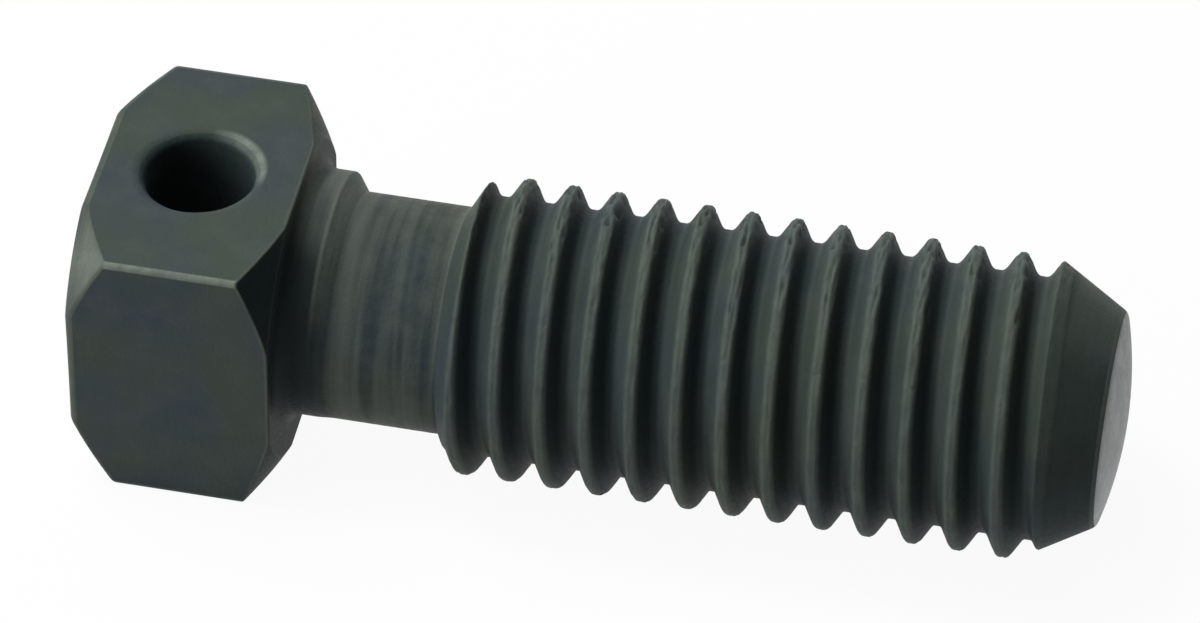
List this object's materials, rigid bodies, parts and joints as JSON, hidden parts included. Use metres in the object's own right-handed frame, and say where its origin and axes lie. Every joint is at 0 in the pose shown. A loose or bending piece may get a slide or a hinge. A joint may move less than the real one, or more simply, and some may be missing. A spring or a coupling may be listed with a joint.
{
  "type": "square head link screw",
  "caption": "Square head screw with a cross-drilled head for a locking wire or pin, a short collar and plain neck, and a metric thread ending in a tapered dog tip.",
  "frame": {"origin": "middle of the head's bearing face, on the screw's own axis", "axes": "+X along the screw's axis from the head to the tip, +Z along the cross hole, out of the flat that lies uppermost"},
  "size_m": [0.0344, 0.01, 0.01],
  "materials": {
    "black_oxide_steel": "turned and milled steel with a mottled black oxide coat, semi-matt, worn bright on its edges"
  },
  "bodies": {
    "root": {"link_screw": "black_oxide_steel"}
  },
  "joints": []
}
